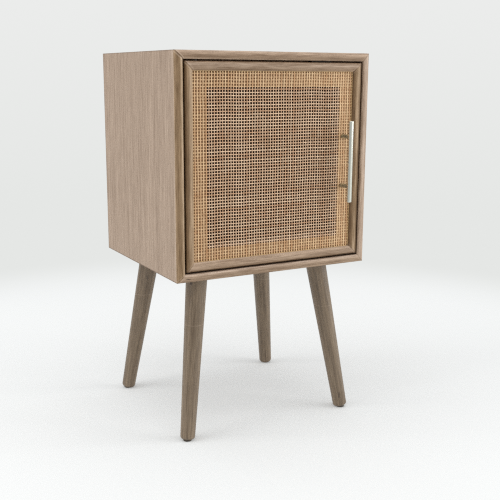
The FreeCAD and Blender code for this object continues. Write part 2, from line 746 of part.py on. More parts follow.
def cane_shape():
    """The cane as one holed sheet, coarser than the real weave: a closed border and a net of gaps."""
    margin = number("cane_rebate + cane_fit")
    left = number("door_left")
    right = number("door_right")
    low = number("door_bottom")
    high = number("door_top")
    border = number("frame_width")
    bar = number("net_bar")
    count = int(number("net_count"))
    gap_x = (right - left - 2 * border - (count - 1) * bar) / count
    gap_z = (high - low - 2 * border - (count - 1) * bar) / count
    wires = [rectangle_wire(left + margin, low + margin, right - margin, high - margin)]
    for column in range(count):
        for line in range(count):
            x = left + border + column * (gap_x + bar)
            z = low + border + line * (gap_z + bar)
            wires.append(rectangle_wire(x, z, x + gap_x, z + gap_z))
    for level in post_levels.values():
        centre = Vector(number("handle_x"), 0, number(level))
        ring = Part.makeCircle(number("handle_screw_diameter / 2 + screw_fit"), centre, Vector(0, 1, 0))
        wires.append(Part.Wire(ring))
    sheet_face = Part.Face(wires, "Part::FaceMakerBullseye")
    return sheet_face.extrude(Vector(0, number("cane_thickness"), 0))


cane = doc.addObject("Part::Feature", "cane")
cane.Shape = cane_shape()
place(cane, "0", "cane_front", "0")
piece(cane, "cane_webbing")

# Handle
bar_body = new_body("handle_bar")
bar_section = new_sketch(bar_body, "XZ_Plane")
half_bar = "handle_length / 2"
rectangle(bar_section, "0", f"-{half_bar}", "handle_bar_diameter / 2", half_bar)
revolve(bar_body, bar_section)
fillet(bar_body, "handle_end_round", lambda edge: edge.BoundBox.ZLength < 1e-3)
place(bar_body, "handle_x", "bar_y", "handle_z")
piece(bar_body, "handle_bar")
saddle = cylinder("saddle", "handle_bar_diameter / 2", "handle_length",
                  "handle_x", "bar_y", f"handle_z - {half_bar}")
for level, z in post_levels.items():
    post = cylinder(f"{level}_post", "handle_post_diameter / 2", "handle_post_length",
                    "handle_x", "cane_front", z, facing(FORWARD))
    piece(cut(f"{level}_post_cut", post, saddle, screw_room), f"handle_post_{level}")
handle_screws = [handle_screw(f"{level}_screw", z, "0") for level, z in post_levels.items()]
piece(group("handle_screw_pair", handle_screws), "handle_screws")

doc.recompute()
for item in doc.Objects:
    if {"Invalid", "Error"} & set(item.State):
        raise RuntimeError(f"{item.Label} failed: {item.State}")
for item in PIECES:
    if item.Shape.isNull() or not item.Shape.isValid() or not item.Shape.Solids:
        raise RuntimeError(f"{item.Label} has no valid solid")
os.makedirs("parts", exist_ok=True)
for item in PIECES:
    item.Shape.exportStep(os.path.join("parts", f"{item.Label}.step"))
    print(item.Label, len(item.Shape.Solids), round(item.Shape.Volume, 1))
print("pieces", len(PIECES))
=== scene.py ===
import math

import bpy
import numpy as np
from mathutils import Matrix, Vector

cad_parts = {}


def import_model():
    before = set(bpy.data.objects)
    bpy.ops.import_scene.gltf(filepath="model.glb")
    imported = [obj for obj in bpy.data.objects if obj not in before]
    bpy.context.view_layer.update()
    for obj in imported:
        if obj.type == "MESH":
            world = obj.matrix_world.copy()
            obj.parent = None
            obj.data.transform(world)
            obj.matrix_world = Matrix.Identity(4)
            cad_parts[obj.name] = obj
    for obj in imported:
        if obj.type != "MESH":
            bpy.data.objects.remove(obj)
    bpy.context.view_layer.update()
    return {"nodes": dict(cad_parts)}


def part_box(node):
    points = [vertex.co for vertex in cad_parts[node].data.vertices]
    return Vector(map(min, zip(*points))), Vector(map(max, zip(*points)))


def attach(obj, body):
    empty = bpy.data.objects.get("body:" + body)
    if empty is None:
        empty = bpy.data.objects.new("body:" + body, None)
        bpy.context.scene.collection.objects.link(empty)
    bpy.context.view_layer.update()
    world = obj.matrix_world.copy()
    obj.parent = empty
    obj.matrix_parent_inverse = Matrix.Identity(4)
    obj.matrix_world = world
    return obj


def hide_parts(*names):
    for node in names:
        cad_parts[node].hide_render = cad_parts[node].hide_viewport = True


# Looks of the storage side table: greyed wood in several cuts, a door panel woven from cane,
# a brushed handle and plain hardware. Metres, in the frame of the solids.
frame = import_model()
nodes = frame["nodes"]
MM = 0.001

# Places that the finishes need, read from the solids, in millimetres
box_low, box_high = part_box("left_lipping")[0] / MM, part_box("right_lipping")[1] / MM
door_low, door_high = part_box("door_left_moulding")[0] / MM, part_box("door_right_moulding")[1] / MM
MIDDLE_HEIGHT = (box_low.z + box_high.z) / 2
BOX_HALF = (box_high.x - box_low.x) / 2
DOOR_HALF = (door_high.x - door_low.x) / 2
LIPPING_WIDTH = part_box("left_lipping")[1].x / MM - box_low.x
INNER_HALF = BOX_HALF - LIPPING_WIDTH
MOULDING_EDGE = -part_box("door_left_moulding")[1].x / MM
PANEL_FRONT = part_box("left_side_panel")[0].y / MM
PANEL_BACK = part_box("left_side_panel")[1].y / MM
BACK_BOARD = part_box("back_panel")[0].y / MM
CANE_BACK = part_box("cane_webbing")[1].y / MM


def srgb(red, green, blue):
    """A colour given as 0 to 255, as the shader takes it."""
    channels = [value / 255 for value in (red, green, blue)]
    linear = [c / 12.92 if c <= 0.04045 else ((c + 0.055) / 1.055) ** 2.4 for c in channels]
    return (*linear, 1.0)


# Colours of the wood: dark and light grain, then stains and painted shade. SHADE is painted shade at
# edges, in gaps and at the feet, and also the dark of the mitre joints; the brown inside the box and
# the glue brown are partly painted shade, and GAP_DARK is painted shade
VENEER = (srgb(145, 124, 106), srgb(189, 168, 149))
LIPPING = (srgb(126, 101, 78), srgb(190, 165, 141))
YELLOWER = (srgb(128, 102, 72), srgb(192, 165, 134))
LEG = (srgb(91, 74, 55), srgb(144, 125, 102))
BEECH = (srgb(180, 150, 112), srgb(214, 188, 150))
BROWN = srgb(104, 66, 36)
SHADE = srgb(74, 48, 29)
WORN = srgb(208, 186, 164)
KNOT = srgb(52, 34, 24)
GLUE_AND_SHADE_BROWN = srgb(112, 74, 40)
HONEY = srgb(200, 154, 106)
GAP_DARK = srgb(38, 24, 16)

# Axis of the grain in each board, and in the lippings and mouldings on each side
PANEL_GRAIN = {"left_side_panel": "Z", "right_side_panel": "Z", "top_panel": "X", "bottom_panel": "X",
               "back_panel": "Z"}
SIDE_GRAIN = {"left": "Z", "right": "Z", "top": "X", "bottom": "X"}
# Pieces round the door that are yellower than the others
YELLOWER_PIECES = ("left_lipping", "left_moulding", "right_moulding")
# Layers of the grain: repeats per millimetre, along the grain and across it
TONES = (0.0025, 0.03)
STREAKS = (0.006, 0.22)
DASHES = (0.028, 0.42)
FIBRES = (0.03, 1.5)
PORES = (0.07, 1.9)
STREAK_WEIGHT = 1.7
FIBRE_WEIGHT = 0.9
# Levels of the noise at which a pore starts and is full, and how dark it is
PORE_LEVELS = (0.6, 0.72)
PORE_DARKNESS = 0.4
# Height of the fibres as a share of the depth of the pores, and how deep and how strong the relief is
FIBRE_HEIGHT = 0.5
GRAIN_DEPTH = 0.2 * MM
GRAIN_STRENGTH = 0.6
# How much rougher the palest wood is than the darkest
TONE_ROUGHNESS = 0.16
# Gloss and roughness of the boards and legs. The top board is fully matt, because at a flat angle
# it would sparkle with the lamps
PANEL_SHEEN = 0.2
TOP_SHEEN = 0.0
PANEL_ROUGHNESS = 0.5
LEG_SHEEN = 0.6
LEG_ROUGHNESS = 0.34
# Shifts of the grain, so that pieces side by side differ: the legs by their distance from the middle
MOULDING_SHIFT = 300.0
FRAME_SHIFT = 600.0
LEG_SHIFT = 100.0

# How much of each colour channel painted shade of depth 1 takes away, as a power of e
SHADE_SOAK = (1.0, 1.2, 1.5)
# Depth of painted shade across each piece round the door, at distances from its outer edge: it lies
# deep in the hollows, beside the gap and on slopes turned away from the light, and below 0 it is
# painted light on the crests and on slopes turned to the light, which also stands for rubbed wear
PAINTED_LIGHT_AND_SHADE = {
    "left_lipping": ((0, 0.2), (3.5, 0.42), (7, 0.32), (9.5, 0.1), (12, -0.32), (15.5, 0.08)),
    "top_lipping": ((0, -0.24), (4, -0.08), (8, 0.14), (11.5, 0.34), (13.6, 0.05), (14.6, -0.12),
                    (15.5, 0.1)),
    "right_lipping": ((0, -0.22), (9, -0.24), (13, -0.16), (15.5, 0.05)),
    "bottom_lipping": ((0, 0.1), (4, 0.16), (8, 0.03), (11, -0.12), (14, -0.4), (15.5, -0.1)),
    "left_moulding": ((0, 0.8), (1.5, 0.75), (4.5, 0.5), (7.5, 0.18), (10.5, 0.0), (16, -0.08)),
    "top_moulding": ((0, 0.45), (1.5, 0.2), (3.5, -0.14), (6, -0.27), (9, -0.1), (12, 0.04),
                     (14.5, 0.22), (16, 0.1)),
    "right_moulding": ((0, 0.95), (2.5, 0.72), (4, 0.2), (5.5, -0.28), (8, -0.08), (10.5, 0.28),
                       (13, 0.62), (16, 0.8)),
    "bottom_moulding": ((0, 1.4), (1.5, 0.95), (3, 0.37), (4.5, 0.1), (9, 0.06), (13, -0.02),
                        (16, -0.14)),
}
# Glue left on the frame behind the cane, together with painted shade that darkens the holes of the
# border: its share at the middle of each piece, and the change per millimetre to the right or upward
GLUE_AND_SHADE = {
    "door_hinge_stile": (0.62, 0.0005),
    "door_latch_stile": (0.05, 0.0),
    "door_top_rail": (0.62, -0.0028),
    "door_bottom_rail": (0.58, 0.0),
}
# How far down from its upper edge the bottom rail is painted dark as shade, so that the cane looks open
# there
OPEN_DROP = 5.5
# Strength of the line at a mitre: in the upper left corner, and in the others
LIPPING_MITRE = (0.7, 0.25)
MOULDING_MITRE = (0.45, 0.22)
# Where the line starts and is full, and the place, half width and strength of the paler wood beside it
MITRE_LINE = (0.9, 0.2)
MITRE_PALE = (2.2, 1.8)
MITRE_PALENESS = 0.6

# Painted shade along edges, at the gaps and at the feet, and rubbing at the front edge: distance from
# the edge at which each starts, and at which it is full, and its strength
MOUTH_SHADE = (24, 8, 0.7)
FRONT_RUB = (5, 1, 0.35)
LOWER_SHADE = (2.6, 0.6, 0.5)
UPPER_SHADE = (2.4, 0.6, 0.3)
REAR_SHADE = (3, 0.8, 0.3)
LIPPING_SHADE = (0.7, 0.1, 0.75)
FRAME_SHADE = (0.8, 0.2, 0.6)
FOOT_SHADE = (7.0, 2.5, 0.5)
GAP_SHADE = (OPEN_DROP + 0.7, OPEN_DROP - 0.1, 0.9)
# How far past a face its own stain and painted shade start and are full, for the inner faces of the
# boards round the box, and for the back panel and the frame behind the cane
INNER_FADE = (1.0, 0.3)
FACE_FADE = (1.0, 0.4)
# Share of brown inside the box: partly the inner faces' own colour, partly painted shade that darkens
# the view through the cane
INSIDE_BROWN = 0.55
HONEY_SHARE = 0.7

# Height, half width and strength of the ring on the legs
LEG_RING = 220.5
RING_WIDTH = 1.4
RING_PALENESS = 0.13
# Knots and dark streaks: place, half size and strength
KNOTS = {
    "bottom_lipping": [((-184, -170, 323.3), (7, 5, 1.3), 0.75)],
    "leg_front_left": [((-153.5, -114.2, 299.4), (3.2, 3.2, 3.2), 0.85)],
    "leg_front_right": [((167.5, -153, 29), (2.6, 2.6, 10), 0.6)],
    "leg_back_left": [((-147.8, 118, 260), (4, 4, 7), 0.4)],
}


class Nodes:
    """A node tree, with short calls for the nodes that it is made of."""

    def __init__(self, tree):
        self.tree = tree

    def feed(self, socket, value):
        if isinstance(value, bpy.types.NodeSocket):
            self.tree.links.new(value, socket)
        else:
            socket.default_value = value

    def node(self, kind, *values, **settings):
        made = self.tree.nodes.new(kind)
        for key, value in settings.items():
            setattr(made, key, value)
        for socket, value in zip(made.inputs, values):
            self.feed(socket, value)
        return made

    def math(self, operation, *values):
        return self.node("ShaderNodeMath", *values, operation=operation).outputs[0]

    def vector(self, operation, *values):
        return self.node("ShaderNodeVectorMath", *values, operation=operation).outputs

    def split(self, vector):
        return self.node("ShaderNodeSeparateXYZ", vector).outputs

    def join(self, x, y, z):
        return self.node("ShaderNodeCombineXYZ", x, y, z).outputs[0]

    def stretch(self, vector, x, y, z):
        return self.vector("MULTIPLY", vector, (x, y, z))[0]

    def noise(self, vector, detail=2.0, roughness=0.5):
        made = self.node("ShaderNodeTexNoise")
        self.feed(made.inputs["Vector"], vector)
        self.feed(made.inputs["Scale"], 1.0)
        self.feed(made.inputs["Detail"], detail)
        self.feed(made.inputs["Roughness"], roughness)
        return made.outputs["Fac"]

    def total(self, *terms):
        """Sum of (value, weight) pairs, each value counted from its middle of a half."""
        result = 0.5
        for value, weight in terms:
            result = self.math("MULTIPLY_ADD", self.math("SUBTRACT", value, 0.5), weight, result)
        return result

    def rise(self, value, low, high, start=0.0, end=1.0):
        """Even rise from start at low to end at high."""
        return self.node("ShaderNodeMapRange", value, low, high, start, end).outputs[0]

    def step(self, value, low, high):
        """Smooth rise from 0 at low to 1 at high."""
        made = self.node("ShaderNodeMapRange", value, low, high, interpolation_type="SMOOTHSTEP")
        return made.outputs[0]

    def near(self, value, place, width):
        """1 where value is at place, falling to 0 at width from there."""
        return self.step(self.math("ABSOLUTE", self.math("SUBTRACT", value, place)), width, 0.0)

    def both(self, *masks):
        """Product of masks, of which some may be plain shares."""
        result = masks[0]
        for mask in masks[1:]:
            result = self.math("MULTIPLY", result, mask)
        return result

    def blend(self, factor, low, high, mode="MIX"):
        made = self.node("ShaderNodeMix", data_type="RGBA", blend_type=mode)
        sockets = (made.inputs[0], made.inputs[6], made.inputs[7])
        for socket, value in zip(sockets, (factor, low, high)):
            self.feed(socket, value)
        return made.outputs[2]


class Finish(Nodes):
    """One procedural material."""

    def __init__(self, name):
        self.material = bpy.data.materials.new(name)
        self.material.use_nodes = True
        super().__init__(self.material.node_tree)
        self.shader = self.tree.nodes["Principled BSDF"]

    def set(self, **sockets):
        for name, value in sockets.items():
            self.feed(self.shader.inputs[name.replace("_", " ")], value)

    def gloss(self, level):
        self.shader.inputs["Specular IOR Level"].default_value = level

    def rest(self):
        """Place on the part at rest, in millimetres."""
        place = self.node("ShaderNodeTexCoord").outputs["Object"]
        return self.stretch(place, 1 / MM, 1 / MM, 1 / MM)

    def speckle(self, repeats, detail):
        """Noise with the same number of repeats per millimetre all ways."""
        return self.noise(self.stretch(self.rest(), repeats, repeats, repeats), detail)

    def aside(self, drop=0.0):
        """Distance from the middle of the box, sideways or up and down, whichever is more.

        Downward, drop is taken off."""
        x, _, z = self.split(self.rest())
        height = self.math("SUBTRACT", z, MIDDLE_HEIGHT)
        depth = self.math("MULTIPLY_ADD", height, -1.0, -drop)
        return self.math("MAXIMUM", self.math("ABSOLUTE", x), self.math("MAXIMUM", height, depth))

    def bump(self, height, distance, strength):
        made = self.node("ShaderNodeBump")
        self.feed(made.inputs["Height"], height)
        self.feed(made.inputs["Distance"], distance)
        self.feed(made.inputs["Strength"], strength)
        self.feed(self.shader.inputs["Normal"], made.outputs[0])


class Wood(Finish):
    """Open-grained wood: broad tones, growth streaks, dashes, fine fibres and short dark pores.

    grain is an axis letter, or the axis of a leaning leg."""

    def __init__(self, name, grain, dark, light, broad=0.9, dash=1.4, shift=0.0):
        super().__init__(name)
        self.place = self.vector("ADD", self.along_grain(grain), (shift, shift, shift))[0]
        tones = self.layer(TONES, 2.0)
        streak = self.layer(STREAKS, 3.0, 0.6)
        dashes = self.layer(DASHES, 2.0)
        fibre = self.layer(FIBRES, 2.0)
        pores = self.step(self.layer(PORES, 1.0), *PORE_LEVELS)
        self.tone = self.total((tones, broad), (streak, STREAK_WEIGHT), (dashes, dash),
                               (fibre, FIBRE_WEIGHT))
        mix = self.math("MAXIMUM", self.math("MINIMUM", self.tone, 1.0), 0.0)
        self.colour = self.blend(mix, dark, light)
        self.stain_and_shade(dark, pores, PORE_DARKNESS)
        self.relief = self.math("SUBTRACT", self.math("MULTIPLY", fibre, FIBRE_HEIGHT), pores)

    def along_grain(self, grain):
        """Place at rest with the grain along X."""
        rest = self.rest()
        if isinstance(grain, Vector):
            axis, angle = grain.rotation_difference(Vector((0, 0, 1))).to_axis_angle()
            made = self.node("ShaderNodeVectorRotate", rotation_type="AXIS_ANGLE")
            self.feed(made.inputs["Vector"], rest)
            self.feed(made.inputs["Axis"], axis)
            self.feed(made.inputs["Angle"], angle)
            rest, grain = made.outputs[0], "Z"
        x, y, z = self.split(rest)
        return self.join(*{"X": (x, y, z), "Y": (y, x, z), "Z": (z, x, y)}[grain])

    def layer(self, repeats, detail, roughness=0.5):
        along, across = repeats
        return self.noise(self.stretch(self.place, along, across, across), detail, roughness)

    def stain_and_shade(self, colour, *masks):
        """Blend a colour in, as strong as the product of the masks: stains and marks of the wood, and
        also painted shade.
        """
        self.colour = self.blend(self.both(*masks), self.colour, colour)

    def edge_wear_and_shade(self, colour, place, edge, inward, recipe, *masks):
        """A band of colour along an edge, for painted shade and for rubbed wear.

        inward is 1 if place grows from the edge into the piece, and -1 if it shrinks."""
        start, full, strength = recipe
        band = self.step(place, edge + inward * start, edge + inward * full)
        self.stain_and_shade(colour, *masks, band, strength)

    def knot(self, place, size, strength):
        """A dark knot or streak: an ellipsoid of colour round a place."""
        away = self.vector("SUBTRACT", self.rest(), place)[0]
        share = self.stretch(away, *[1 / value for value in size])
        reach = self.vector("LENGTH", share)["Value"]
        self.stain_and_shade(KNOT, self.step(reach, 1.0, 0.4), strength)

    def knots(self, name):
        for place, size, strength in KNOTS.get(name, ()):
            self.knot(place, size, strength)

    def paint_light_and_shade(self, place, stops):
        """Painted shade and light, of a depth given at places in millimetres: deeper is browner shade,
        below 0 is paler, as painted light.
        """
        reach = stops[-1][0]
        made = self.node("ShaderNodeValToRGB", self.math("DIVIDE", place, reach))
        elements = made.color_ramp.elements
        while len(elements) < len(stops):
            elements.new(0.5)
        for element, (at, depth) in zip(elements, stops):
            element.position = at / reach
            element.color = (depth + 1, depth + 1, depth + 1, 1)
        depth = self.math("SUBTRACT", made.outputs[0], 1.0)
        tint = [self.math("POWER", math.exp(-soak), depth) for soak in SHADE_SOAK]
        self.colour = self.blend(1.0, self.colour, self.join(*tint), "MULTIPLY")

    def done(self, sheen=0.3, roughness=0.46):
        self.set(Base_Color=self.colour)
        self.set(Roughness=self.math("MULTIPLY_ADD", self.tone, TONE_ROUGHNESS, roughness))
        self.gloss(sheen)
        self.bump(self.relief, GRAIN_DEPTH, GRAIN_STRENGTH)
        return self.material


def past(face, fade):
    """Ends of a fade that lies past a face."""
    return [face + reach for reach in fade]


def paint(material, *names):
    for name in names:
        slots = nodes[name].material_slots
        if slots:
            slots[0].material = material
        else:
            nodes[name].data.materials.append(material)


def frame_place(finish, upright, half):
    """On one side of a square frame: distance from its outer edge, and from its mitre."""
    x, _, z = finish.split(finish.rest())
    inward = finish.math("SUBTRACT", half, finish.math("ABSOLUTE", x))
    height = finish.math("ABSOLUTE", finish.math("SUBTRACT", z, MIDDLE_HEIGHT))
    downward = finish.math("SUBTRACT", half, height)
    across, end = (inward, downward) if upright else (downward, inward)
    return across, finish.math("MULTIPLY", finish.math("SUBTRACT", end, across), math.sqrt(0.5))


def mitre_lines(finish, mitre, strong, faint):
    """A joint line with paler wood beside it, strong in the upper left corner, else faint."""
    x, _, z = finish.split(finish.rest())
    upper = finish.math("GREATER_THAN", z, MIDDLE_HEIGHT)
    left = finish.math("LESS_THAN", x, 0.0)
    darkness = finish.math("MULTIPLY_ADD", finish.both(upper, left), strong - faint, faint)
    finish.stain_and_shade(WORN, finish.near(mitre, *MITRE_PALE), darkness, MITRE_PALENESS)
    finish.stain_and_shade(SHADE, finish.step(mitre, *MITRE_LINE), darkness)


def front_wood(piece, grain, shift=0.0):
    """Wood of a lipping or moulding."""
    colours = YELLOWER if piece in YELLOWER_PIECES else LIPPING
    return Wood(piece + "_wood", grain, *colours, shift=shift)


def lipping_wood(side, grain):
    finish = front_wood(side + "_lipping", grain)
    across, mitre = frame_place(finish, grain == "Z", BOX_HALF)
    finish.paint_light_and_shade(across, PAINTED_LIGHT_AND_SHADE[side + "_lipping"])
    finish.edge_wear_and_shade(SHADE, across, LIPPING_WIDTH, -1, LIPPING_SHADE)
    mitre_lines(finish, mitre, *LIPPING_MITRE)
    finish.knots(side + "_lipping")
    return finish.done()


def moulding_wood(side, grain):
    finish = front_wood(side + "_moulding", grain, shift=MOULDING_SHIFT)
    across, mitre = frame_place(finish, grain == "Z", DOOR_HALF)
    finish.paint_light_and_shade(across, PAINTED_LIGHT_AND_SHADE[side + "_moulding"])
    mitre_lines(finish, mitre, *MOULDING_MITRE)
    return finish.done()


def panel_wood(name, grain):
    """Veneer of a board: brown inside the box, partly as painted shade, darker inside towards the door
    as painted shade, rubbed at the front, and with painted shade at the other edges.
    """
    finish = Wood(name + "_veneer", grain, *VENEER, broad=0.5, dash=0.9)
    _, y, z = finish.split(finish.rest())
    within = finish.step(finish.aside(), *past(INNER_HALF, INNER_FADE))
    inside = finish.both(within, finish.step(y, *past(BACK_BOARD, FACE_FADE)))
    finish.stain_and_shade(BROWN, inside, INSIDE_BROWN)
    finish.edge_wear_and_shade(SHADE, y, PANEL_FRONT, 1, MOUTH_SHADE, inside)
    finish.edge_wear_and_shade(WORN, y, PANEL_FRONT, 1, FRONT_RUB)
    finish.edge_wear_and_shade(SHADE, z, box_low.z, 1, LOWER_SHADE)
    finish.edge_wear_and_shade(SHADE, z, box_high.z, -1, UPPER_SHADE)
    finish.edge_wear_and_shade(SHADE, y, PANEL_BACK, -1, REAR_SHADE)
    sheen = TOP_SHEEN if name == "top_panel" else PANEL_SHEEN
    return finish.done(sheen, PANEL_ROUGHNESS)


def door_frame_wood(name, grain):
    """Wood of the frame behind the cane: golden, and brown with glue and painted shade, where the cane
    lies on it. The upper edge of the bottom rail and the outer edge of the frame are dark as painted
    shade.
    """
    finish = Wood(name + "_wood", grain, *LIPPING, shift=FRAME_SHIFT)
    x, y, z = finish.split(finish.rest())
    middle, change = GLUE_AND_SHADE[name]
    along = x if grain == "X" else finish.math("SUBTRACT", z, MIDDLE_HEIGHT)
    glue_and_shade_share = finish.math("MULTIPLY_ADD", along, change, middle)
    covered = finish.step(y, *past(CANE_BACK, FACE_FADE))
    finish.stain_and_shade(HONEY, covered, HONEY_SHARE)
    finish.stain_and_shade(GLUE_AND_SHADE_BROWN, covered, glue_and_shade_share)
    # Painted shade: the upper edge of the bottom rail is dark, so that the cane in front of it looks
    # open
    if name == "door_bottom_rail":
        rail_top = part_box(name)[1].z / MM
        finish.edge_wear_and_shade(GAP_DARK, z, rail_top, -1, GAP_SHADE, covered)
    finish.edge_wear_and_shade(SHADE, finish.aside(), DOOR_HALF, -1, FRAME_SHADE)
    return finish.done()


def leg_wood(corner):
    """Wood of a turned leg, with a fine ring round it and a darker end at the floor as painted shade.
    """
    foot = sum(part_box(f"glide_{corner}"), Vector()) / 2
    head = sum(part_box(f"leg_plate_{corner}"), Vector()) / 2
    shift = LEG_SHIFT * head.x
    finish = Wood(f"leg_{corner}_wood", head - foot, *LEG, broad=1.1, dash=0.8, shift=shift)
    z = finish.split(finish.rest())[2]
    finish.stain_and_shade(WORN, finish.near(z, LEG_RING, RING_WIDTH), RING_PALENESS)
    finish.edge_wear_and_shade(SHADE, z, 0.0, 1, FOOT_SHADE)
    finish.knots("leg_" + corner)
    return finish.done(LEG_SHEEN, LEG_ROUGHNESS)


for name, grain in PANEL_GRAIN.items():
    paint(panel_wood(name, grain), name)
for side, grain in SIDE_GRAIN.items():
    paint(lipping_wood(side, grain), side + "_lipping")
    paint(moulding_wood(side, grain), f"door_{side}_moulding")
for name in GLUE_AND_SHADE:
    paint(door_frame_wood(name, "Z" if name.endswith("_stile") else "X"), name)
for corner in ("front_left", "front_right", "back_left", "back_right"):
    paint(leg_wood(corner), f"leg_{corner}")
paint(Wood("dowel_beech", "X", *BEECH).done(), "door_frame_dowels")


# Brush lines on metal and grit on plastic: repeats per millimetre, how far they spread the roughness,
# their depth, and how strong the relief is. Plastic is also mottled with a darker tone
BRUSH_REPEATS = (9, 9, 0.06)
BRUSH_SPREAD = 0.16
BRUSH_DEPTH = 0.02 * MM
GRIT_REPEATS = 2.5
GRIT_SPREAD = 0.2
GRIT_DEPTH = 0.05 * MM
RELIEF_STRENGTH = 0.4
MOTTLE_REPEATS = 0.2
MOTTLE_TONE = 0.8


def metal(name, colour, roughness):
    """Brushed metal with fine upright lines."""
    finish = Finish(name)
    lines = finish.noise(finish.stretch(finish.rest(), *BRUSH_REPEATS), 2.0)
    finish.set(Base_Color=colour, Metallic=1.0)
    finish.set(Roughness=finish.math("MULTIPLY_ADD", lines, BRUSH_SPREAD, roughness - BRUSH_SPREAD / 2))
    finish.bump(lines, BRUSH_DEPTH, RELIEF_STRENGTH)
    return finish.material


def plastic(name, colour, roughness):
    """Moulded plastic, slightly mottled and gritty."""
    finish = Finish(name)
    grit = finish.speckle(GRIT_REPEATS, 2.0)
    darker = [value * MOTTLE_TONE for value in colour[:3]] + [1.0]
    finish.set(Base_Color=finish.blend(finish.speckle(MOTTLE_REPEATS, 3.0), colour, darker))
    finish.set(Roughness=finish.math("MULTIPLY_ADD", grit, GRIT_SPREAD, roughness - GRIT_SPREAD / 2))
    finish.bump(grit, GRIT_DEPTH, RELIEF_STRENGTH)
    return finish.material


zinc_nodes = [name for name in nodes if name.endswith(("_screws", "_bolts"))]
zinc_nodes += [name for name in nodes if name.startswith("leg_plate_")]
dark_nodes = [name for name in nodes if "_hinge_" in name and name.endswith(("_plate", "_pin"))]
glide_nodes = [name for name in nodes if name.startswith("glide_")]
paint(metal("handle_steel", srgb(238, 239, 229), 0.15), "handle_bar")
# The posts are of the same steel as the bar, given a darker colour as painted shade
paint(metal("handle_post_shaded_steel", srgb(184, 190, 180), 0.36), "handle_post_upper", "handle_post_lower")
paint(metal("zinc_steel", srgb(190, 190, 188), 0.36), *zinc_nodes)
# The strike plate and the hinge plates and pins are dark as painted shade, where they are seen in the
# door's gaps
paint(metal("bronzed_shaded_steel", srgb(84, 78, 70), 0.42), "strike_plate", *dark_nodes)
# The glides are dark as painted shade at the feet's ends by the floor
paint(plastic("glide_plastic", srgb(74, 64, 52), 0.6), *glide_nodes)
# The catch and the washers are dark as painted shade, where they are seen in the door's gaps
paint(plastic("catch_plastic", srgb(92, 72, 54), 0.45), "catch_housing")
paint(plastic("washer_plastic", srgb(70, 56, 44), 0.5), "upper_hinge_washer", "lower_hinge_washer")
paint(plastic("magnet_ferrite", srgb(66, 66, 68), 0.55), "catch_magnet")

# Woven cane: flat strands, one over and one under, in a slightly uneven net. The border, which
# lies on the door's frame, is flatter, and its strands are pressed wider
cane_low, cane_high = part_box("cane_webbing")
BORDER_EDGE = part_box("door_latch_stile")[0].x
OPEN_HOLES = 52
OPEN_SPAN = 2 * (BORDER_EDGE - 0.9 * MM)
PITCH = OPEN_SPAN / (OPEN_HOLES - 1)
UPRIGHT_WIDTH = 1.78 * MM
LEVEL_WIDTH = 1.95 * MM
BORDER_WIDER = 0.28
STRAND_THICKNESS = 0.55 * MM
# How far a strand swings forward and back, and how far the level strands lie behind the uprights
SWING = 0.26 * MM
BORDER_FLATTER = 0.5
FORWARD_SET = 0.08 * MM
BORDER_SET = 0.16 * MM
# Unevenness of the net, at random per strand and in waves, and of the strands' widths
SEED = 7
JITTER = 0.2 * MM
DRIFT = 0.14 * MM
DRIFT_LENGTHS = (61 * MM, 97 * MM, 173 * MM)
STRAND_SPREAD = (0.93, 1.08)
STATION_SPREAD = (0.95, 1.05)
STRANDS = 2 * int((cane_high.x - UPRIGHT_WIDTH) / PITCH) + 1
# Sections of a strand per pitch, and those left out near its ends, which the mouldings cover
STATIONS = 2
END_SPANS = (1, -2)
SECTION = [(-1, 0), (-0.55, -0.9), (0.55, -0.9), (1, 0), (0.55, 0.9), (-0.55, 0.9)]
# Added to the tone of a level strand, to tell it from an upright
LEVEL_MARK = 2


class Net:
    """The uneven net that the strands follow."""

    def __init__(self, draw):
        half = STRANDS // 2
        self.index = np.arange(-half, half + 1)
        self.jitter = draw.normal(0, JITTER, (2, STRANDS))
        self.phases = draw.uniform(0, 2 * math.pi, (2, len(DRIFT_LENGTHS)))
        steps = np.arange(-half * STATIONS, half * STATIONS + 1) / STATIONS
        self.steps = np.delete(steps, END_SPANS)

    def uneven(self, axis, even, other):
        """Places on one axis, moved off the even net, given the places on the other axis."""
        waves = 2 * math.pi / np.array(DRIFT_LENGTHS)
        drift = DRIFT * np.sin(waves[None, None, :] * other[:, :, None] + self.phases[axis]).sum(2)
        return even + drift + np.interp(even, self.index * PITCH, self.jitter[axis])


def strand_rings(draw, net, level, number):
    """Points of one strand, and for each its place along and across the strand and its tone."""
    section = np.array(SECTION)
    place = net.index[number] * PITCH
    along = net.steps * PITCH
    border = np.maximum(abs(along), abs(place)) > BORDER_EDGE
    width = (LEVEL_WIDTH if level else UPRIGHT_WIDTH) / 2
    width = width * draw.uniform(*STRAND_SPREAD) * draw.uniform(*STATION_SPREAD, (len(along), 1))
    width *= 1 + BORDER_WIDER * border[:, None]
    sign = -1 if (net.index[number] + level) % 2 else 1
    over = -sign * SWING * (1 - BORDER_FLATTER * border) * np.cos(math.pi * net.steps)
    over += (FORWARD_SET + BORDER_SET * border) * (2 * level - 1)
    ring_across = place + section[None, :, 0] * width
    ring_depth = over[:, None] + section[None, :, 1] * STRAND_THICKNESS / 2
    ring_along = along[:, None] + 0 * section[None, :, 0]
    x, z = (ring_along, ring_across) if level else (ring_across, ring_along)
    points = np.stack([net.uneven(0, x, z), ring_depth, net.uneven(1, z, x)], 2)
    tone = np.full(ring_along.shape, draw.uniform() + LEVEL_MARK * level)
    strand = np.stack([ring_along, section[None, :, 0] + 0 * ring_along, tone], 2)
    return points.reshape(-1, 3), strand.reshape(-1, 3)


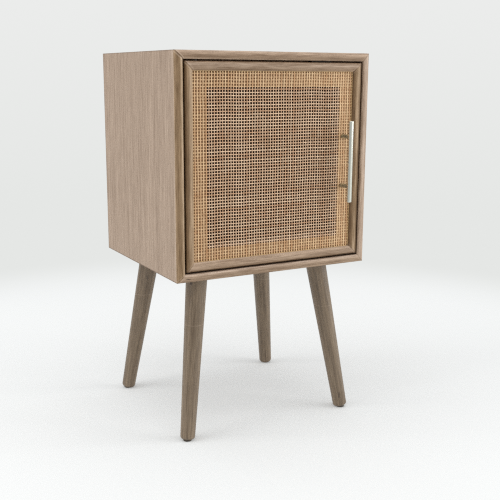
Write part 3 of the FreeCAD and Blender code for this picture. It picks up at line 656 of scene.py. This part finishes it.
def tube_faces(point_count, stations):
    """Faces of closed tubes that follow each other, each with a ring of points per station."""
    sides = len(SECTION)
    faces = []
    for first in range(0, point_count, stations * sides):
        last = first + (stations - 1) * sides
        for low in range(first, last, sides):
            for side in range(sides):
                after = (side + 1) % sides
                faces.append((low + side, low + after, low + sides + after, low + sides + side))
        faces.append(tuple(range(first + sides - 1, first - 1, -1)))
        faces.append(tuple(range(last, last + sides)))
    return faces


def woven_cane():
    """All strands in one mesh, uprights first."""
    draw = np.random.default_rng(SEED)
    net = Net(draw)
    rings = [strand_rings(draw, net, level, number) for level in (0, 1) for number in range(STRANDS)]
    points, strand = (np.concatenate(values) for values in zip(*rings))
    points += [0, (cane_low.y + cane_high.y) / 2, (cane_low.z + cane_high.z) / 2]
    mesh = bpy.data.meshes.new("woven_cane")
    mesh.from_pydata(points.tolist(), [], tube_faces(len(points), len(net.steps)))
    marks = mesh.attributes.new("strand", "FLOAT_VECTOR", "POINT")
    marks.data.foreach_set("vector", strand.astype(np.float32).ravel())
    mesh.shade_smooth()
    mesh.update()
    piece = bpy.data.objects.new("woven_cane", mesh)
    bpy.context.scene.collection.objects.link(piece)
    return piece


# Colours of the cane, from the middle of a strand to its rim, which is partly painted shade round the
# holes, and then the painted light on the strands beside the mouldings, and the tints of the border:
# all of it, its right side and its level strands
CANE = (srgb(201, 151, 108), srgb(249, 217, 181))
CANE_EDGE = srgb(128, 70, 28)
CANE_RIM = srgb(78, 38, 12)
CANE_PAINTED_LIGHT = srgb(240, 206, 150)
BORDER_TINT = (0.96, 0.93, 0.81, 1)
RIGHT_TINT = (1.07, 1.08, 1.08, 1)
LEVEL_TINT = (0.78, 0.75, 0.7, 1)
# Streaks along the strands: repeats per metre, per half width and per step of a strand's tone
CANE_STREAKS = (90, 3, 700)
PATCH_REPEATS = 0.06
# What a strand's tone, its streaks and broad patches weigh, and the sums that give the darkest and
# the palest cane
TONE_WEIGHT = 0.4
CANE_STREAK_WEIGHT = 1.5
PATCH_WEIGHT = 0.5
CANE_LEVELS = (0.05, 0.85)
# Where the darker edge and rim of a strand start and are full, as shares of its half width, and how
# strong they are in the open part and in the border: they are the split edges of the strands and also
# painted shade round the holes
EDGE_LEVELS = (0.4, 1.0)
RIM_LEVELS = (0.8, 1.0)
OPEN_STAIN_AND_SHADE = 0.7
BORDER_STAIN_AND_SHADE = 0.35
# Fade into the border, the places between which it pales to the right, and the fade of the painted
# light on the strands beside the mouldings, which lifts the shade that the mouldings cast, with its
# strength
BORDER_FADE = (-1.0, 1.0)
RIGHT_RANGE = (-20.0, 120.0)
PALE_FADE = (-4.0, -1.0)
PALENESS = 0.7
CANE_ROUGHNESS = 0.38
ROUGHNESS_SPREAD = 0.2
STREAK_DEPTH = 0.1 * MM
STREAK_STRENGTH = 0.5


def strand_colour(finish, tone, streak, across, border):
    """Colour across a strand, darker at its edges, partly as painted shade round the holes, and less so
    in the border.
    """
    patch = finish.speckle(PATCH_REPEATS, 2.0)
    mix = finish.total((tone, TONE_WEIGHT), (streak, CANE_STREAK_WEIGHT), (patch, PATCH_WEIGHT))
    colour = finish.blend(finish.step(mix, *CANE_LEVELS), *CANE)
    stain_and_shade_share = finish.math("MULTIPLY_ADD", border, BORDER_STAIN_AND_SHADE - OPEN_STAIN_AND_SHADE, OPEN_STAIN_AND_SHADE)
    outward = finish.math("ABSOLUTE", across)
    for levels, stain_and_shade in ((EDGE_LEVELS, CANE_EDGE), (RIM_LEVELS, CANE_RIM)):
        colour = finish.blend(finish.both(finish.step(outward, *levels), stain_and_shade_share), colour, stain_and_shade)
    return colour


def border_colour(finish, colour, border, level):
    """Tints of the border, and painted light on the strands beside the mouldings, against the shade of
    the mouldings.
    """
    rightward = finish.step(finish.split(finish.rest())[0], *RIGHT_RANGE)
    colour = finish.blend(border, colour, BORDER_TINT, "MULTIPLY")
    colour = finish.blend(finish.both(border, rightward), colour, RIGHT_TINT, "MULTIPLY")
    colour = finish.blend(finish.both(border, level), colour, LEVEL_TINT, "MULTIPLY")
    painted_light_band = finish.step(finish.aside(), *past(MOULDING_EDGE, PALE_FADE))
    return finish.blend(finish.both(painted_light_band, PALENESS), colour, CANE_PAINTED_LIGHT)


def cane_finish():
    finish = Finish("cane")
    made = finish.node("ShaderNodeAttribute", attribute_name="strand")
    along, across, kind = finish.split(made.outputs["Vector"])
    level = finish.math("GREATER_THAN", kind, LEVEL_MARK - 0.5)
    tone = finish.math("FRACT", kind)
    streak = finish.noise(finish.stretch(finish.join(along, across, tone), *CANE_STREAKS), 3.0)
    border = finish.step(finish.aside(OPEN_DROP), *past(BORDER_EDGE / MM, BORDER_FADE))
    colour = strand_colour(finish, tone, streak, across, border)
    finish.set(Base_Color=border_colour(finish, colour, border, level))
    finish.set(Roughness=finish.math("MULTIPLY_ADD", streak, ROUGHNESS_SPREAD, CANE_ROUGHNESS))
    finish.bump(streak, STREAK_DEPTH, STREAK_STRENGTH)
    return finish.material


cane = woven_cane()
cane.data.materials.append(cane_finish())
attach(cane, "door")
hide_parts("cane_webbing")

# Camera, as the photograph was taken
CAMERA_PLACE = Vector((-0.79283, -1.49390, 0.68517))
CAMERA_TURN = math.radians(-29.0557)
CAMERA_DROP = math.radians(11.9232)
CAMERA_ROLL = math.radians(0.2952)
FOCAL_PIXELS = 828.71
IMAGE_PIXELS = 500
SENSOR = 36.0


def aim_camera():
    forward = Vector((-math.sin(CAMERA_TURN) * math.cos(CAMERA_DROP),
                      math.cos(CAMERA_TURN) * math.cos(CAMERA_DROP), -math.sin(CAMERA_DROP)))
    level = Vector((math.cos(CAMERA_TURN), math.sin(CAMERA_TURN), 0))
    upward = level.cross(forward)
    right = math.cos(CAMERA_ROLL) * level + math.sin(CAMERA_ROLL) * upward
    up = right.cross(forward)
    lens = bpy.data.cameras.new("camera")
    lens.sensor_width = SENSOR
    lens.lens = SENSOR * FOCAL_PIXELS / IMAGE_PIXELS
    camera = bpy.data.objects.new("camera", lens)
    turn = Matrix((right, up, -forward)).transposed().to_4x4()
    camera.matrix_world = Matrix.Translation(CAMERA_PLACE) @ turn
    bpy.context.scene.collection.objects.link(camera)
    bpy.context.scene.camera = camera


# Pale floor that fades into an even backdrop, and soft light from all round, from above, from
# the front right and from the left
FLOOR_RADIUS = 2.2
FLOOR_SIDES = 96
FADE_START = 0.95
FADE_END = 1.5
FLOOR_GLOW = 0.24
FLOOR_ROUGHNESS = 0.7
FLOOR_SHADE = srgb(239, 241, 240)
BACKDROP = srgb(229, 231, 229)
BACKDROP_HIGH = srgb(236, 237, 236)
# Slope of the view between which the backdrop turns from its lower to its higher shade
BACKDROP_RISE = (-0.15, 0.12)
# Strength of the backdrop in reflections, on the left and right, and where it turns
LEFT_MIRRORED = 0.55
RIGHT_MIRRORED = 1.0
MIRROR_TURN = (-0.2, 0.0)
AMBIENT = 0.62
AMBIENT_SHADE = srgb(253, 253, 255)
# Square lamps: place, width and watts, all aimed at one point
LAMP_AIM = Vector((0, 0, 0.4))
LAMPS = {
    "overhead": (Vector((-0.1, -0.3, 3.0)), 2.5, 30),
    "right_front": (Vector((3.3, -2.2, 1.45)), 2.2, 66),
    "left_fill": (Vector((-3.4, 0.5, 2.2)), 2.6, 60),
}


def floor_finish():
    """A floor that takes shadows and glows a little, and fades into the backdrop far out."""
    finish = Finish("floor")
    place = finish.node("ShaderNodeTexCoord").outputs["Object"]
    fade = finish.step(finish.vector("LENGTH", place)["Value"], FADE_START, FADE_END)
    glow = finish.node("ShaderNodeEmission", finish.blend(fade, FLOOR_SHADE, BACKDROP), 1.0)
    finish.set(Base_Color=FLOOR_SHADE, Roughness=FLOOR_ROUGHNESS)
    finish.gloss(0.0)
    share = finish.math("MULTIPLY_ADD", fade, 1.0 - FLOOR_GLOW, FLOOR_GLOW)
    mix = finish.node("ShaderNodeMixShader", share, finish.shader.outputs[0], glow.outputs[0])
    finish.feed(finish.tree.nodes["Material Output"].inputs["Surface"], mix.outputs[0])
    return finish.material


def floor():
    angles = [2 * math.pi * n / FLOOR_SIDES for n in range(FLOOR_SIDES)]
    ring = [(FLOOR_RADIUS * math.cos(angle), FLOOR_RADIUS * math.sin(angle), 0) for angle in angles]
    mesh = bpy.data.meshes.new("floor")
    mesh.from_pydata(ring, [], [tuple(range(FLOOR_SIDES))])
    mesh.materials.append(floor_finish())
    ground = bpy.data.objects.new("floor", mesh)
    bpy.context.scene.collection.objects.link(ground)


def area_light(name, place, width, watts):
    lamp = bpy.data.lights.new(name, "AREA")
    lamp.shape = "SQUARE"
    lamp.size = width
    lamp.energy = watts
    rig = bpy.data.objects.new(name, lamp)
    rig.location = place
    rig.rotation_mode = "QUATERNION"
    rig.rotation_quaternion = (LAMP_AIM - place).to_track_quat("-Z", "Y")
    bpy.context.scene.collection.objects.link(rig)


def world():
    """Even light for the surfaces, and the backdrop for the camera, reflections and glass."""
    made = bpy.data.worlds.new("world")
    bpy.context.scene.world = made
    made.use_nodes = True
    made.cycles.sampling_method = "NONE"
    sky = Nodes(made.node_tree)
    rays = sky.node("ShaderNodeLightPath").outputs
    x, _, z = sky.split(sky.node("ShaderNodeTexCoord").outputs["Generated"])
    shade = sky.blend(sky.rise(z, *BACKDROP_RISE), BACKDROP, BACKDROP_HIGH)
    mirrored = sky.rise(x, *MIRROR_TURN, LEFT_MIRRORED, RIGHT_MIRRORED)
    dimmed = sky.math("SUBTRACT", mirrored, 1.0)
    strength = sky.math("MULTIPLY_ADD", rays["Is Glossy Ray"], dimmed, 1.0)
    backdrop = sky.node("ShaderNodeBackground", shade, strength)
    ambient = sky.tree.nodes["Background"]
    sky.feed(ambient.inputs["Color"], AMBIENT_SHADE)
    sky.feed(ambient.inputs["Strength"], AMBIENT)
    seen = rays["Is Camera Ray"]
    for kind in ("Is Glossy Ray", "Is Transmission Ray"):
        seen = sky.math("MAXIMUM", seen, rays[kind])
    mix = sky.node("ShaderNodeMixShader", seen, ambient.outputs[0], backdrop.outputs[0])
    sky.feed(sky.tree.nodes["World Output"].inputs[0], mix.outputs[0])


aim_camera()
floor()
world()
for name, (place, width, watts) in LAMPS.items():
    area_light(name, place, width, watts)
bpy.context.scene.view_settings.view_transform = "Standard"
# The denoiser and a wide pixel filter would wipe out the weave
bpy.context.scene.cycles.use_denoising = False
bpy.context.scene.cycles.filter_width = 1.25
